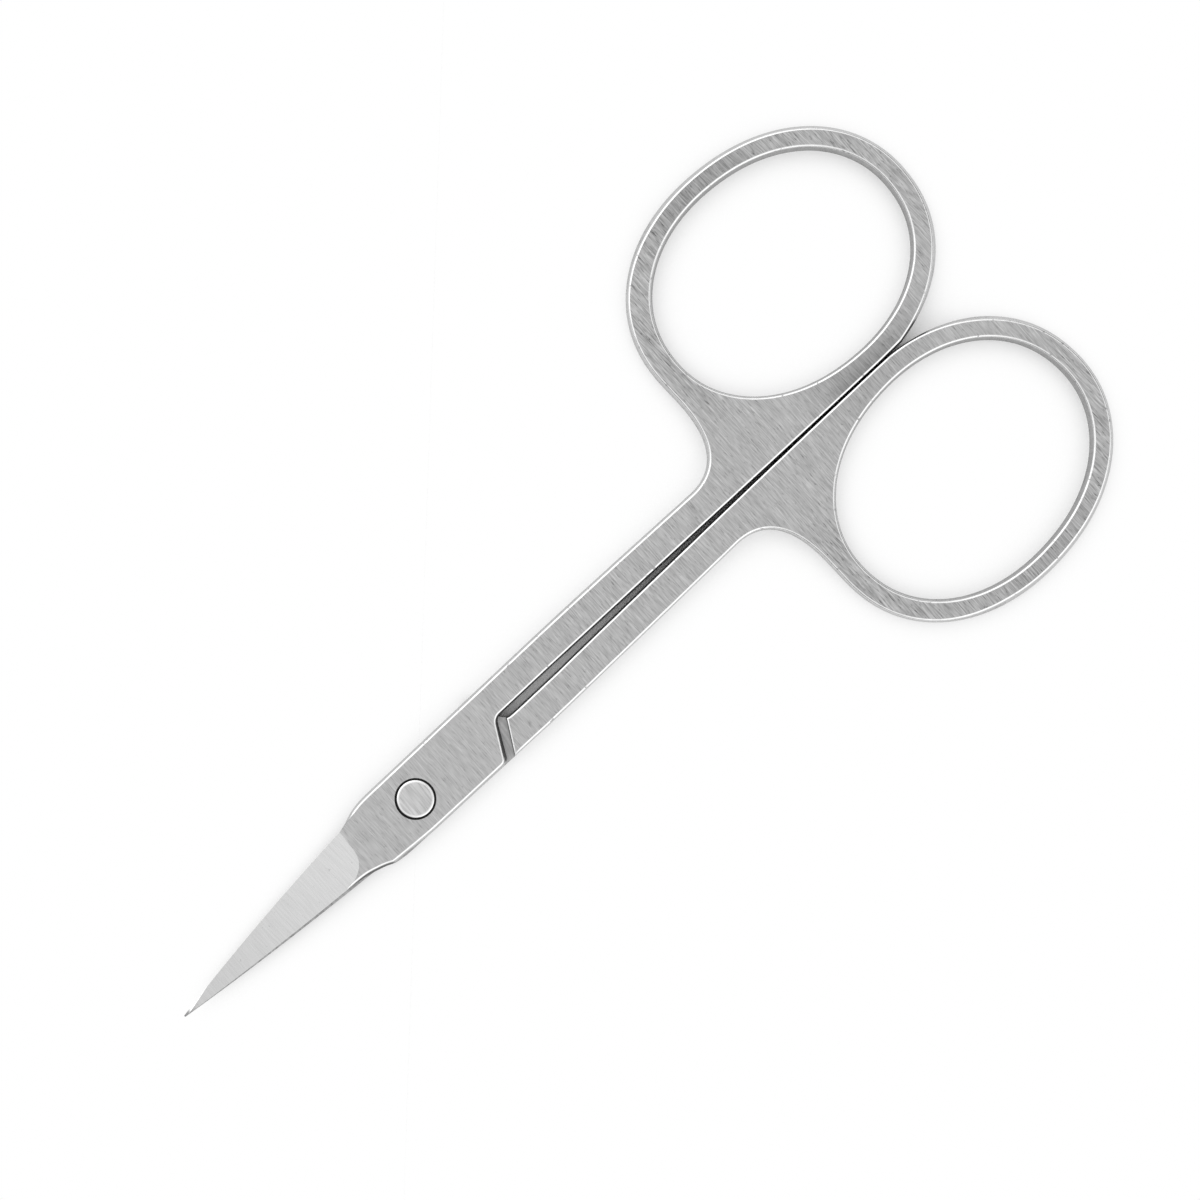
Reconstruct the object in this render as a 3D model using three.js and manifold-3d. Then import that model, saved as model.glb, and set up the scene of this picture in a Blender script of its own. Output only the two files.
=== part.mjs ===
// Nail scissors: two half-lapped steel halves, each with its own finger ring, turning on one flush rivet.
// Millimetres, +Z up. The origin is on the rivet's axis, on the plane that the scissors lie on.
// +X points along the closed scissors to the finger rings, and +Y to the upper half's ring.

import * as THREE from 'three';
import { mergeVertices } from 'three/addons/utils/BufferGeometryUtils.js';
import Module from 'manifold-3d';

const wasm = await Module();
wasm.setup();

// Overall size
const overallLength = 90.45;
const thickness = 2.4; // of the steel that each half is pressed from
const edgeRound = 0.35; // rounding along the edges of the ring, shank and pivot block
const bladeEdgeRound = 0.02; // the blade's outline stays sharp
const lapGap = 0.06; // running gap between the two lap faces

// Blade, from the pivot towards -X, with its cutting edge on the handle's side
const bladeReach = 26.05; // pivot to tip
const tipHalfWidth = 0.06;
const spineEnd = new THREE.Vector2(-9, -1.63);
const spineBow = new THREE.Vector2(-17.5, -1.1);

// Ground bevel of the blade, in its own plane
const grindAngle = THREE.MathUtils.degToRad(16.4);
const edgeThickness = 0.14; // left at the cutting edge
const grindWidth = 3.68; // from the cutting edge to where the bevel runs out at the spine
const grindLean = 0.21; // slope of the line where the bevel starts
const grindStraight = 1.93; // straight part of that line, before it rounds off along the spine
const grindRunOut = 3.1; // reach of the rounded part along the blade
const cutClear = 2; // how far each cut reaches past the steel

// Neck and pivot block
const blockInnerY = -2.99;
const outerNeckStartX = -2.6;
const innerNeckHollow = new THREE.Vector2(-6.5, -1.95);
const innerNeckEnd = new THREE.Vector2(-4.85, -2.68);
const innerBlockBow = new THREE.Vector2(-2.5, -2.86);
const innerBlockStart = new THREE.Vector2(-0.5, -2.95);
const blockRearX = 7.48; // rear corner, before it is rounded
const rearSlant = 0.545; // X per Y of the block's rear edge
const cornerRound = 0.5; // reach of the rounded rear corners along each side

// Where the two halves differ: block, neck, cutting edge, edges of the shank and ring opening
const upperShape = {
  rearShift: 0, // the block is longer by this
  blockOuterY: 3.05, // on the half's own handle side
  outerNeckBowX: -4.15,
  outerNeckMid: new THREE.Vector2(-5, 2.72),
  outerNeckHollow: new THREE.Vector2(-5.65, 2.48),
  heel: new THREE.Vector2(-6.3, 2.26), // where the cutting edge starts
  cuttingEdgeBow: new THREE.Vector2(-16.5, 1.5),
  tipY: -0.08,
  shankWide: new THREE.Vector2(16, 3.09), // the outer edge tapers from here on
  shankTaperBowX: 22,
  shankOuterY: 2.86, // where the shank meets the web
  shankInnerY: 0.33,
  innerEdgeBow: new THREE.Vector2(33, 0.19),
  ringMeetY: 0.12, // the flat of the ring where the closed rings meet
  openingMiddle: new THREE.Vector2(51.14, 10.93),
  openingLong: 11.18,
  openingShort: 8.95,
};
const lowerShape = {
  rearShift: 0.53,
  blockOuterY: 2.9,
  outerNeckBowX: -4.4,
  outerNeckMid: new THREE.Vector2(-5.1, 2.62),
  outerNeckHollow: new THREE.Vector2(-5.6, 2.36),
  heel: new THREE.Vector2(-6.3, 2.08),
  cuttingEdgeBow: new THREE.Vector2(-18, 1.22),
  tipY: 0.1,
  shankWide: new THREE.Vector2(12, 3.06),
  shankTaperBowX: 15,
  shankOuterY: 2.77,
  shankInnerY: 0.27,
  innerEdgeBow: new THREE.Vector2(33, -0.05),
  ringMeetY: -0.04,
  openingMiddle: new THREE.Vector2(51.02, 10.93),
  openingLong: 11.37,
  openingShort: 9.1,
};

// Shoulder: the step from the full thickness of the shank to the lap
const shoulderClear = 0.87; // open slot along X, on the middle line, to the other half's block
const shoulderSlant = 0.592; // X per Y of the shoulder
const lapCutHalfWidth = 6;

// Shank
const webStartX = 33.4;
const webFillet = 6.2; // height of the fillet between shank and ring
const shankParallelX = 15.5; // the inner edges run parallel up to here, then close up

// Finger ring
const ringOuterLong = 13.35;
const ringOuterShort = 10.95;
const ringFullness = 2.12; // exponent of the ovals, a little squarer than an ellipse
const ringTilt = THREE.MathUtils.degToRad(-4.75); // its far end leans towards the other ring
const ringLowY = -0.06; // lowest point of the rim's oval, which the flat cuts off

// Rivet and its holes
const rivetShankRadius = 1.1;
const pivotHoleRadius = 1.15;
const rivetHeadRadius = 1.55;
const headRecessRadius = 1.71;
const rivetHeadHeight = 0.5;
const headClearance = 0.06;
const headRimRound = 0.12;

// Smoothness of the curves
const curveSteps = 12;
const ringSteps = 72;
const roundSteps = 2;
const rivetSteps = 48;

// Levels and places that follow from the sizes above
const lapFace = (thickness + lapGap) / 2;
const ringRim = oval(ringOuterLong, ringOuterShort);
const ringCentre = new THREE.Vector2(
  overallLength - bladeReach - Math.max(...ringRim.map((point) => point.x)),
  ringLowY - lowest(ringRim, 'y').y,
);

// Points of a tilted, slightly squared oval about the origin, counter-clockwise
function oval(long, short) {
  const power = 2 / ringFullness;
  const origin = new THREE.Vector2();
  return Array.from({ length: ringSteps }, (_, step) => {
    const turn = (2 * Math.PI * step) / ringSteps;
    const x = long * Math.sign(Math.cos(turn)) * Math.abs(Math.cos(turn)) ** power;
    const y = short * Math.sign(Math.sin(turn)) * Math.abs(Math.sin(turn)) ** power;
    return new THREE.Vector2(x, y).rotateAround(origin, ringTilt);
  });
}

// The point with the least x or y
function lowest(points, axis) {
  return points.reduce((best, point) => (point[axis] < best[axis] ? point : best));
}

// A solid for cutting and joining, from a closed geometry. Triangles that merge to a line are dropped.
function toSolid(geometry) {
  geometry.deleteAttribute('normal');
  geometry.deleteAttribute('uv');
  const merged = mergeVertices(geometry, 1e-5);
  const corners = merged.index.array;
  const kept = [];
  for (let i = 0; i < corners.length; i += 3) {
    const triangle = corners.slice(i, i + 3);
    if (new Set(triangle).size === 3) {
      kept.push(...triangle);
    }
  }
  const vertProperties = new Float32Array(merged.attributes.position.array);
  const triVerts = new Uint32Array(kept);
  return new wasm.Manifold(new wasm.Mesh({ numProp: 3, vertProperties, triVerts }));
}

function toGeometry(solid) {
  const mesh = solid.getMesh();
  const geometry = new THREE.BufferGeometry();
  geometry.setAttribute('position', new THREE.BufferAttribute(mesh.vertProperties, 3));
  geometry.setIndex(new THREE.BufferAttribute(mesh.triVerts, 1));
  geometry.computeVertexNormals();
  return geometry;
}

// Inner side of a half's outline, from the tip along the spine and block to where the rings meet
function innerSide(shape, contactX) {
  const { tipY, shankInnerY, innerEdgeBow, ringMeetY } = shape;
  const rearX = blockRearX + shape.rearShift;
  const slantLength = Math.hypot(rearSlant, 1);
  const stepX = (cornerRound * rearSlant) / slantLength;
  const stepY = cornerRound / slantLength;
  const nookX = rearX + (shankInnerY - blockInnerY) * rearSlant;
  const path = new THREE.Path();
  path.moveTo(-bladeReach, tipY - tipHalfWidth);
  path.quadraticCurveTo(spineBow.x, spineBow.y, spineEnd.x, spineEnd.y);
  path.quadraticCurveTo(innerNeckHollow.x, innerNeckHollow.y, innerNeckEnd.x, innerNeckEnd.y);
  path.quadraticCurveTo(innerBlockBow.x, innerBlockBow.y, innerBlockStart.x, innerBlockStart.y);
  path.lineTo(rearX - cornerRound, blockInnerY);
  path.quadraticCurveTo(rearX, blockInnerY, rearX + stepX, blockInnerY + stepY);
  path.lineTo(nookX - stepX, shankInnerY - stepY);
  path.quadraticCurveTo(nookX, shankInnerY, nookX + cornerRound, shankInnerY);
  path.lineTo(shankParallelX, shankInnerY);
  path.quadraticCurveTo(innerEdgeBow.x, innerEdgeBow.y, contactX, ringMeetY);
  return path.getPoints(curveSteps);
}

// Outer side of a half's outline, from the ring's leftmost point along the shank to the tip
function outerSide(shape, ringLeft) {
  const { shankOuterY, shankTaperBowX, shankWide, blockOuterY } = shape;
  const { outerNeckBowX, outerNeckMid, outerNeckHollow, heel, cuttingEdgeBow, tipY } = shape;
  const path = new THREE.Path();
  path.moveTo(ringLeft.x, ringLeft.y);
  path.lineTo(ringLeft.x, shankOuterY + webFillet);
  path.quadraticCurveTo(ringLeft.x, shankOuterY, webStartX, shankOuterY);
  path.quadraticCurveTo(shankTaperBowX, shankWide.y, shankWide.x, shankWide.y);
  path.lineTo(outerNeckStartX, blockOuterY);
  path.quadraticCurveTo(outerNeckBowX, blockOuterY, outerNeckMid.x, outerNeckMid.y);
  path.quadraticCurveTo(outerNeckHollow.x, outerNeckHollow.y, heel.x, heel.y);
  path.quadraticCurveTo(cuttingEdgeBow.x, cuttingEdgeBow.y, -bladeReach, tipY + tipHalfWidth);
  return path.getPoints(curveSteps);
}

// Rim of the finger ring, from the flat where it meets the other ring round to its leftmost point
function ringSide({ ringMeetY }) {
  const start = ringRim.indexOf(lowest(ringRim, 'y'));
  const round = [...ringRim.slice(start), ...ringRim.slice(0, start)];
  const end = round.indexOf(lowest(round, 'x'));
  const rim = round.slice(0, end + 1).map((point) => point.clone().add(ringCentre));
  return rim.filter((point) => point.y > ringMeetY);
}

// Outline of one half, counter-clockwise from its tip, with its handle on +Y
function halfOutline(shape) {
  const ring = ringSide(shape);
  const inner = innerSide(shape, ring[0].x);
  const outer = outerSide(shape, ring.at(-1));
  return [...inner, ...ring, ...outer.slice(1)];
}

// Opening of the finger ring, clockwise
function ringOpening({ openingMiddle, openingLong, openingShort }) {
  return oval(openingLong, openingShort).map((point) => point.add(openingMiddle)).reverse();
}

// Rounding of the edge at a point of the outline: none on the blade, full from the neck on
function edgeRoundAt(point) {
  const onHandle = THREE.MathUtils.smoothstep(point.x, spineEnd.x - 1, spineEnd.x + 1);
  return THREE.MathUtils.lerp(bladeEdgeRound, edgeRound, onHandle);
}

// Steps that move each point of a closed loop into the steel, which lies on the loop's left
function inwardSteps(loop) {
  return loop.map((point, i) => {
    const before = loop.at(i - 1);
    const after = loop[(i + 1) % loop.length];
    const a = new THREE.Vector2(before.y - point.y, point.x - before.x).normalize();
    const b = new THREE.Vector2(point.y - after.y, after.x - point.x).normalize();
    return a.clone().add(b).divideScalar(1 + a.dot(b));
  });
}

// A flat plate with rounded edges: rows of points go up its sides, and two lids close it
function roundedPlate(loops) {
  const rows = [];
  for (let step = 0; step <= roundSteps; step += 1) {
    const turn = (Math.PI / 2) * (step / roundSteps);
    rows.push({ inset: 1 - Math.sin(turn), rise: 1 - Math.cos(turn), base: 0 });
  }
  for (let step = 0; step <= roundSteps; step += 1) {
    const turn = (Math.PI / 2) * (step / roundSteps);
    rows.push({ inset: 1 - Math.cos(turn), rise: Math.sin(turn) - 1, base: thickness });
  }
  const points = loops.flat();
  const steps = loops.flatMap(inwardSteps);
  const positions = [];
  for (const row of rows) {
    points.forEach((point, i) => {
      const round = edgeRoundAt(point);
      const place = point.clone().addScaledVector(steps[i], round * row.inset);
      positions.push(place.x, place.y, row.base + round * row.rise);
    });
  }

  const triangles = [];
  let loopStart = 0;
  for (const loop of loops) {
    for (let level = 0; level < rows.length - 1; level += 1) {
      const low = level * points.length + loopStart;
      const high = low + points.length;
      for (let i = 0; i < loop.length; i += 1) {
        const next = (i + 1) % loop.length;
        triangles.push(low + i, low + next, high + next, low + i, high + next, high + i);
      }
    }
    loopStart += loop.length;
  }
  const lid = THREE.ShapeUtils.triangulateShape(loops[0], loops.slice(1));
  const topStart = (rows.length - 1) * points.length;
  for (const [a, b, c] of lid) {
    triangles.push(c, b, a);
    triangles.push(topStart + a, topStart + b, topStart + c);
  }

  const geometry = new THREE.BufferGeometry();
  geometry.setAttribute('position', new THREE.Float32BufferAttribute(positions, 3));
  geometry.setIndex(triangles);
  return toSolid(geometry);
}

// The steel that is taken away under the lap, up to the slanted shoulder
function lapCut(otherShape) {
  const middleX = blockRearX + otherShape.rearShift - blockInnerY * rearSlant + shoulderClear;
  const shoulderX = (y) => middleX - y * shoulderSlant;
  const shape = new THREE.Shape();
  shape.moveTo(-bladeReach - cutClear, -lapCutHalfWidth);
  shape.lineTo(shoulderX(-lapCutHalfWidth), -lapCutHalfWidth);
  shape.lineTo(shoulderX(lapCutHalfWidth), lapCutHalfWidth);
  shape.lineTo(-bladeReach - cutClear, lapCutHalfWidth);
  const geometry = new THREE.ExtrudeGeometry(shape, { depth: lapFace + cutClear, bevelEnabled: false });
  geometry.translate(0, 0, -cutClear);
  return toSolid(geometry);
}

// The steel that the bevel grind takes off the blade's outer face, from the heel to the tip
function grindCut({ heel, tipY }) {
  const tip = new THREE.Vector2(-bladeReach, tipY);
  const reach = heel.distanceTo(tip);
  const shape = new THREE.Shape();
  shape.moveTo(-grindLean * cutClear, -cutClear);
  shape.lineTo(grindLean * grindStraight, grindStraight);
  shape.quadraticCurveTo(grindLean * grindWidth, grindWidth, grindRunOut, grindWidth);
  shape.lineTo(reach + cutClear, grindWidth);
  shape.lineTo(reach + cutClear, -cutClear);
  const options = { depth: cutClear, bevelEnabled: false, curveSegments: curveSteps };
  const geometry = new THREE.ExtrudeGeometry(shape, options);
  const along = new THREE.Vector3(tip.x - heel.x, tip.y - heel.y, 0).normalize();
  const across = new THREE.Vector3(-along.y, along.x, 0);
  across.multiplyScalar(Math.cos(grindAngle)).setZ(Math.sin(grindAngle));
  const outward = new THREE.Vector3().crossVectors(along, across);
  const placing = new THREE.Matrix4().makeBasis(along, across, outward);
  placing.setPosition(heel.x, heel.y, lapFace + edgeThickness);
  geometry.applyMatrix4(placing);
  return toSolid(geometry);
}

// A turned solid on the pivot axis, from its profile of [radius, height] pairs
function turned(profile) {
  const points = profile.map(([radius, height]) => new THREE.Vector2(radius, height));
  return toSolid(new THREE.LatheGeometry(points, rivetSteps).rotateX(Math.PI / 2));
}

// The pivot hole, with a recess for the rivet's head in the outer face
function pivotHole() {
  const recessFloor = thickness - rivetHeadHeight - headClearance;
  return turned([
    [0, -cutClear],
    [pivotHoleRadius, -cutClear],
    [pivotHoleRadius, recessFloor],
    [headRecessRadius, recessFloor],
    [headRecessRadius, thickness + cutClear],
    [0, thickness + cutClear],
  ]);
}

// One half of the scissors, with its handle on +Y and its lap in the upper layer
function half(name, ownShape, otherShape) {
  const plate = roundedPlate([halfOutline(ownShape), ringOpening(ownShape)]);
  const solid = plate.subtract(lapCut(otherShape)).subtract(grindCut(ownShape)).subtract(pivotHole());
  const material = new THREE.MeshStandardMaterial({ color: 0xb9b9b9, metalness: 1, roughness: 0.38 });
  const mesh = new THREE.Mesh(toGeometry(solid), material);
  mesh.name = name;
  return mesh;
}

function upperHalf() {
  return half('upper_half', upperShape, lowerShape);
}

// The lower half is the same kind of pressing, turned over about the long axis
function lowerHalf() {
  const mesh = half('lower_half', lowerShape, upperShape);
  mesh.rotation.x = Math.PI;
  mesh.position.z = thickness;
  return mesh;
}

// The rivet: a shank with a flush head on each outer face
function pivotRivet() {
  const solid = turned([
    [0, 0],
    [rivetHeadRadius - headRimRound, 0],
    [rivetHeadRadius, headRimRound],
    [rivetHeadRadius, rivetHeadHeight],
    [rivetShankRadius, rivetHeadHeight],
    [rivetShankRadius, thickness - rivetHeadHeight],
    [rivetHeadRadius, thickness - rivetHeadHeight],
    [rivetHeadRadius, thickness - headRimRound],
    [rivetHeadRadius - headRimRound, thickness],
    [0, thickness],
  ]);
  const material = new THREE.MeshStandardMaterial({ color: 0xbdbdbd, metalness: 1, roughness: 0.34 });
  const mesh = new THREE.Mesh(toGeometry(solid), material);
  mesh.name = 'pivot_rivet';
  return mesh;
}

const scissors = new THREE.Group();
scissors.add(upperHalf(), lowerHalf(), pivotRivet());

export default scissors;
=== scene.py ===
"""Brushed steel nail scissors: two half-lapped pressings on a flush rivet, seen from straight above.

Shapes are worked out in millimetres in the frame's own axes, and scaled to metres as they become objects.
"""

import math
from typing import NamedTuple

import bmesh
import bpy
import numpy as np
from mathutils import Matrix, Vector


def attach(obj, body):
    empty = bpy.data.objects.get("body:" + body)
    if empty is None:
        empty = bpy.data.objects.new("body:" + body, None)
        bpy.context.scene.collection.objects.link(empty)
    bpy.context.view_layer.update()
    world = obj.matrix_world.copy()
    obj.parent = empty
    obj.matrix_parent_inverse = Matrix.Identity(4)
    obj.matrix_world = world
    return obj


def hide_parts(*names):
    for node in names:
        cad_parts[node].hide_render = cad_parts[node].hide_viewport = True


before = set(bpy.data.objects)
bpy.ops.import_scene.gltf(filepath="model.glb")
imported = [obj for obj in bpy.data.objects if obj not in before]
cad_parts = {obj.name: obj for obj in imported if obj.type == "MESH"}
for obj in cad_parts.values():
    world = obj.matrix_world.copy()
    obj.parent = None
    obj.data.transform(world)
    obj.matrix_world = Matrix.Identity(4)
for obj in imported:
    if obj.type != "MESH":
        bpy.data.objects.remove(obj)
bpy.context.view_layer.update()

MM = 0.001

# Overall size
OVERALL_LENGTH = 90.43
THICKNESS = 2.4
LAP_GAP = 0.06

# Edges: the side walls lean in from the middle plane, and a polished rounding joins them to the faces
WALL_LEAN = 0.17
UNDER_WALL_LEAN = 0.1
GAP_WALL_LEAN = 0.1
CLOSED_GAP_LEAN = 0.05
NECK_WALL_LEAN = 0.22
RIM_WALL_LEAN = 0.32
EDGE_ROUND = 0.17
EDGE_DROP = 0.11
SHOULDER_ROUND = 0.14
SHOULDER_DROP = 0.08
BLADE_EDGE = 0.015
ROUND_STEPS = 5
MERGE_DISTANCE = 0.0005
SHARP_ANGLE = math.radians(32)
FLAT_FACE_WEIGHT = 100

# Where the edges change, each as a span counted from the place that its name starts with
HEEL_LEAN_SPAN = (0.0, 1.6)
HEEL_FIRST_ROUND_SPAN = (0.0, 0.4)
HEEL_FIRST_ROUND_SHARE = 0.3
HEEL_FULL_ROUND_SPAN = (1.1, 1.9)
SPINE_END_LEAN_SPAN = (-0.3, 2.2)
SPINE_END_ROUND_SPAN = (-0.3, 0.3)
INNER_NECK_END_SPAN = (-0.8, 0.2)
BLOCK_REAR_GAP_SPAN = (0.0, 2.0)
SHANK_INNER_GAP_SPAN = (0.1, 0.8)
RING_CENTRE_GAP_SPAN = (0.0, 6.0)
RING_CENTRE_FAR_RIM_SPAN = (-12.0, -4.0)
RING_CENTRE_NEAR_RIM_SPAN = (3.0, 11.0)
SHOULDER_EDGE_SPAN = (0.0, 1.2)
GAP_CLOSING_X = (26.0, 44.0)

# Blade, from the pivot towards -X, with its cutting edge on the handle's side
BLADE_REACH = 26.04
TIP_HALF_WIDTH = 0.06
SPINE_END = (-9.0, -1.63)
SPINE_BOW = (-17.5, -1.1)

# Ground bevel of the blade, in its own plane
GRIND_ANGLE = math.radians(16.4)
EDGE_THICKNESS = 0.14
GRIND_WIDTH = 3.68
GRIND_LEAN = 0.21
GRIND_STRAIGHT = 1.93
GRIND_RUN_OUT = 3.1
GRIND_STEPS = 32
CUT_CLEAR = 2.0

# Small bright bevel at the tip
TIP_BEVEL_ANGLE = math.radians(31)
TIP_BEVEL_START = (0.7, -0.03)
TIP_BEVEL_SHARE = 0.83
TIP_EDGE_STEPS = 100

# Neck and pivot block
BLOCK_INNER_Y = -2.99
OUTER_NECK_START_X = -2.6
INNER_NECK_HOLLOW = (-6.5, -1.95)
INNER_NECK_END = (-4.85, -2.68)
INNER_BLOCK_BOW = (-2.5, -2.86)
INNER_BLOCK_START = (-0.5, -2.95)
BLOCK_REAR_X = 7.48
REAR_SLANT = 0.545
CORNER_ROUND = 0.5

# Shoulder: the step from the full thickness of the shank to the lap
SHOULDER_CLEAR = 0.87
SHOULDER_SLANT = 0.592
SHOULDER_LEAN = 0.08
SHOULDER_STEPS = 4
OUTER_CORNER_CLEAR = 0.8
INNER_CORNER_CLEAR = 0.3

# Shank
WEB_START_X = 33.4
WEB_FILLET = 6.2
SHANK_PARALLEL_X = 15.5

# Finger ring
RING_OUTER_LONG = 13.34
RING_OUTER_SHORT = 10.935
RING_FULLNESS = 2.12
RING_TILT = math.radians(-4.75)
RING_LOW_Y = -0.06
RING_POINTS = 360

# Rivet and its holes
PIVOT_HOLE_RADIUS = 1.15
RIVET_SHANK_RADIUS = 1.1
RIVET_HEAD_RADIUS = 1.55
HEAD_RECESS_RADIUS = 1.71
RIVET_HEAD_HEIGHT = 0.5
HEAD_CLEARANCE = 0.06
HEAD_RIM_ROUND = 0.22
HEAD_RIM_DROP = 0.08
RIVET_SIDES = 128

# Material places on a half
FACE, EDGE, SIDE, LAP, BEVEL, GROOVE = range(6)

# Plain grey of each material, before its pattern
FACE_GREY = 0.485
# The edge's grey is partly polish and partly a painted highlight on the rounding
EDGE_GREY = 0.82
OUTER_WALL_GREY = 0.6
OPENING_WALL_SHADED_GREY = 0.38
SHADED_WALL_SHARE = 0.22  # of a wall's grey, where shade is painted on it
LAP_GREY = 0.42
LAP_CORNER_SHADED_GREY = 0.4
RUB_DRIFT = 0.08  # how much the rubbed circles of the lap vary round the pivot
BEVEL_HEEL_GREY = 0.41
BEVEL_TIP_GREY = 0.37
GROOVE_GREY = 0.05
RIVET_GREY = 0.575

# Where the looks change, as spans along X or across Y
TIP_EDGE_X = (-25.7, -25.2)
TIP_BEVEL_X = (-25.6, -24.6)
BEVEL_LENGTH_X = (-24.0, -7.0)
HOLLOW_START_X = (-9.4, -8.6)
HOLLOW_END_X = (-5.0, -4.6)
HOLLOW_SIDE_Y = (-1.0, 1.0)
HEEL_EDGE_X = (-5.4, -4.3)
HEEL_SIDE_Y = (0.0, 1.0)
LAP_CORNER_X = (6.2, 8.2)
SHANK_BRUSH_X = (6.0, 18.0)
RING_BRUSH_Y = (4.0, 9.0)
MID_RING_START_X = (43.0, 50.0)
MID_RING_END_X = (52.0, 59.0)
RINGS_MEET_Y = (0.0, 0.3)
MEETING_FADE_Y = (0.4, 1.6)

# Walls of the two halves that face each other, which get painted shade: half the width of their space at
# the block and the shank
FACING_START_X = (4.0, 6.0)
FACING_NARROWS_X = (9.0, 11.0)
BLOCK_FACING_Y = 2.7
SHANK_FACING_Y = 0.6
FACING_FADE = (0.0, 0.2)

# Walls of the ring openings, which get painted shade: an oval between them and the rims, and the fade
# across it
OPENING_WALL_RADII = (12.3, 10.0)
OPENING_WALL_FADE = (0.95, 1.05)

# Floor: how open it is to the sky decides how dark its colour is painted in a gap, as painted shade, and
# how far its shadows are filled with a painted white glow
FLOOR_REACH = 4000.0
FLOOR_DROP = 0.01
OPENNESS_REACH = 10.0
OPENNESS_SAMPLES = 16
GAP_FLOOR_OPENNESS = (0.07, 0.13)
GAP_FLOOR_GREY = 0.02
FLOOR_GREY = 0.96
DEEP_SHADOW_OPENNESS = (0.13, 0.2)
DEEP_SHADOW_FILL = 0.35
SHALLOW_SHADOW_OPENNESS = (0.4, 0.92)
SHALLOW_SHADOW_FILL = 0.65

# Studio light: levels from the horizon at 0 to straight overhead at 1
STUDIO_LEVELS = [(0.0, 0.4), (0.35, 0.5), (0.6, 1.3), (0.88, 1.3), (0.95, 1.0), (1.0, 0.85)]
BRIGHT_SIDE = 0.24
LEAST_STRENGTH = 0.3

# Camera, from the photograph: straight down, turned about the vertical
PHOTO_WIDTH = 97.74
CAMERA_HEIGHT = 240.0
CAMERA_AIM = (22.05, 1.565)
CAMERA_TURN = math.radians(-43.1)
SENSOR = 36.0
CLIP_START = 10.0

LAP_FACE = (THICKNESS + LAP_GAP) / 2


class HalfShape(NamedTuple):
    """Where the two halves differ, each in its own axes with its handle on +Y."""

    rear_shift: float
    block_outer_y: float
    outer_neck_bow_x: float
    outer_neck_mid: tuple
    outer_neck_hollow: tuple
    heel: tuple
    edge_bow: tuple
    tip_y: float
    shank_wide: tuple
    shank_taper_bow_x: float
    shank_outer_y: float
    shank_inner_y: float
    inner_edge_bow: tuple
    ring_meet_y: float
    opening_centre: tuple
    opening_radii: tuple


UPPER = HalfShape(
    rear_shift=0.0,
    block_outer_y=3.05,
    outer_neck_bow_x=-4.15,
    outer_neck_mid=(-5.0, 2.72),
    outer_neck_hollow=(-5.65, 2.48),
    heel=(-6.3, 2.26),
    edge_bow=(-16.5, 1.5),
    tip_y=-0.08,
    shank_wide=(16.0, 3.09),
    shank_taper_bow_x=22.0,
    shank_outer_y=2.86,
    shank_inner_y=0.33,
    inner_edge_bow=(33.0, 0.19),
    ring_meet_y=0.12,
    opening_centre=(51.14, 10.93),
    opening_radii=(11.18, 8.95),
)
LOWER = HalfShape(
    rear_shift=0.53,
    block_outer_y=2.9,
    outer_neck_bow_x=-4.4,
    outer_neck_mid=(-5.1, 2.62),
    outer_neck_hollow=(-5.6, 2.36),
    heel=(-6.3, 2.08),
    edge_bow=(-18.0, 1.22),
    tip_y=0.1,
    shank_wide=(12.0, 3.06),
    shank_taper_bow_x=15.0,
    shank_outer_y=2.77,
    shank_inner_y=0.27,
    inner_edge_bow=(33.0, -0.05),
    ring_meet_y=-0.04,
    opening_centre=(51.02, 10.93),
    opening_radii=(11.37, 9.1),
)


# Outlines

def bow(start, control, end, steps):
    """Points of a quadratic curve, without its start."""
    t = np.linspace(0, 1, steps + 1)[1:, None]
    start, control, end = (np.array(p, float) for p in (start, control, end))
    return (1 - t) ** 2 * start + 2 * t * (1 - t) * control + t**2 * end


def straight(start, end, steps):
    """Points of a straight line, without its start."""
    t = np.linspace(0, 1, steps + 1)[1:, None]
    return (1 - t) * np.array(start, float) + t * np.array(end, float)


def oval(long, short):
    """Points of a tilted, slightly squared oval about the origin, counter-clockwise."""
    turn = np.linspace(0, 2 * math.pi, RING_POINTS, endpoint=False)
    cos, sin = np.cos(turn), np.sin(turn)
    x = long * np.sign(cos) * np.abs(cos) ** (2 / RING_FULLNESS)
    y = short * np.sign(sin) * np.abs(sin) ** (2 / RING_FULLNESS)
    tilt_cos, tilt_sin = math.cos(RING_TILT), math.sin(RING_TILT)
    return np.column_stack([x * tilt_cos - y * tilt_sin, x * tilt_sin + y * tilt_cos])


RING_RIM = oval(RING_OUTER_LONG, RING_OUTER_SHORT)
RING_CENTRE = np.array(
    [
        OVERALL_LENGTH - BLADE_REACH - RING_RIM[:, 0].max(),
        RING_LOW_Y - RING_RIM[:, 1].min(),
    ]
)


def ring_side(shape):
    """The ring's rim, from the flat where it meets the other ring round to its leftmost point."""
    rim = np.roll(RING_RIM, -RING_RIM[:, 1].argmin(), axis=0) + RING_CENTRE
    flat_end = int(np.flatnonzero(rim[:, 1] > shape.ring_meet_y)[0])
    return rim[flat_end : rim[:, 0].argmin() + 1]


def cutting_edge(shape, steps):
    """Points of the cutting edge from the heel to the tip, without its start."""
    tip = (-BLADE_REACH, shape.tip_y + TIP_HALF_WIDTH)
    return bow(shape.heel, shape.edge_bow, tip, steps)


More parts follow.
